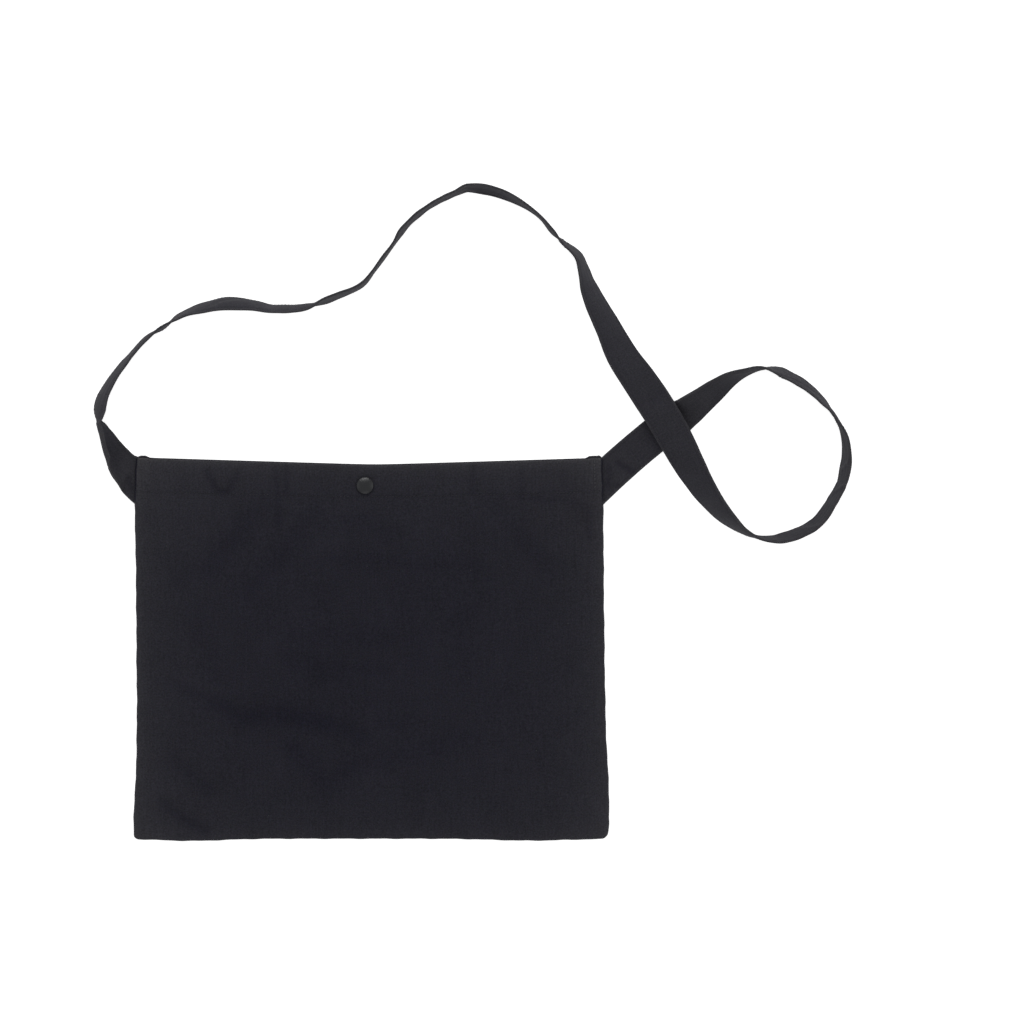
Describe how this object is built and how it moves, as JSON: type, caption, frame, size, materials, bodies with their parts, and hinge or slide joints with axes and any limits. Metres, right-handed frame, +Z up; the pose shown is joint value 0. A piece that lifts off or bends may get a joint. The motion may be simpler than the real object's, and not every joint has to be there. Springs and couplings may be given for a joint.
{
  "type": "cycling musette bag",
  "caption": "Flat canvas shoulder bag with an open hemmed mouth, a press snap in the middle of the hems and a long sewn-on strap laid out in a loop.",
  "frame": {"origin": "on the floor, under the middle of the back panel, whose underside lies on the floor", "axes": "+Z up from the floor through the lying bag; +Y from the bag's bottom seam towards its mouth; +X across the bag to the side where the strap makes its loop"},
  "size_m": [0.5637, 0.49, 0.0265],
  "materials": {
    "front_canvas": "black cotton canvas, matt, with a soft pale sheen at grazing angles",
    "back_canvas": "black cotton canvas, matt, with a soft pale sheen at grazing angles",
    "strap_canvas": "folded black cotton canvas strip, matt, with a soft pale sheen at grazing angles",
    "snap_cap_paint": "semi-gloss black lacquer",
    "snap_stud_metal": "dark nickel plating"
  },
  "bodies": {
    "root": {"front_panel": "front_canvas", "back_panel": "back_canvas", "strap": "strap_canvas", "snap_cap": "snap_cap_paint", "snap_stud": "snap_stud_metal"}
  },
  "joints": []
}
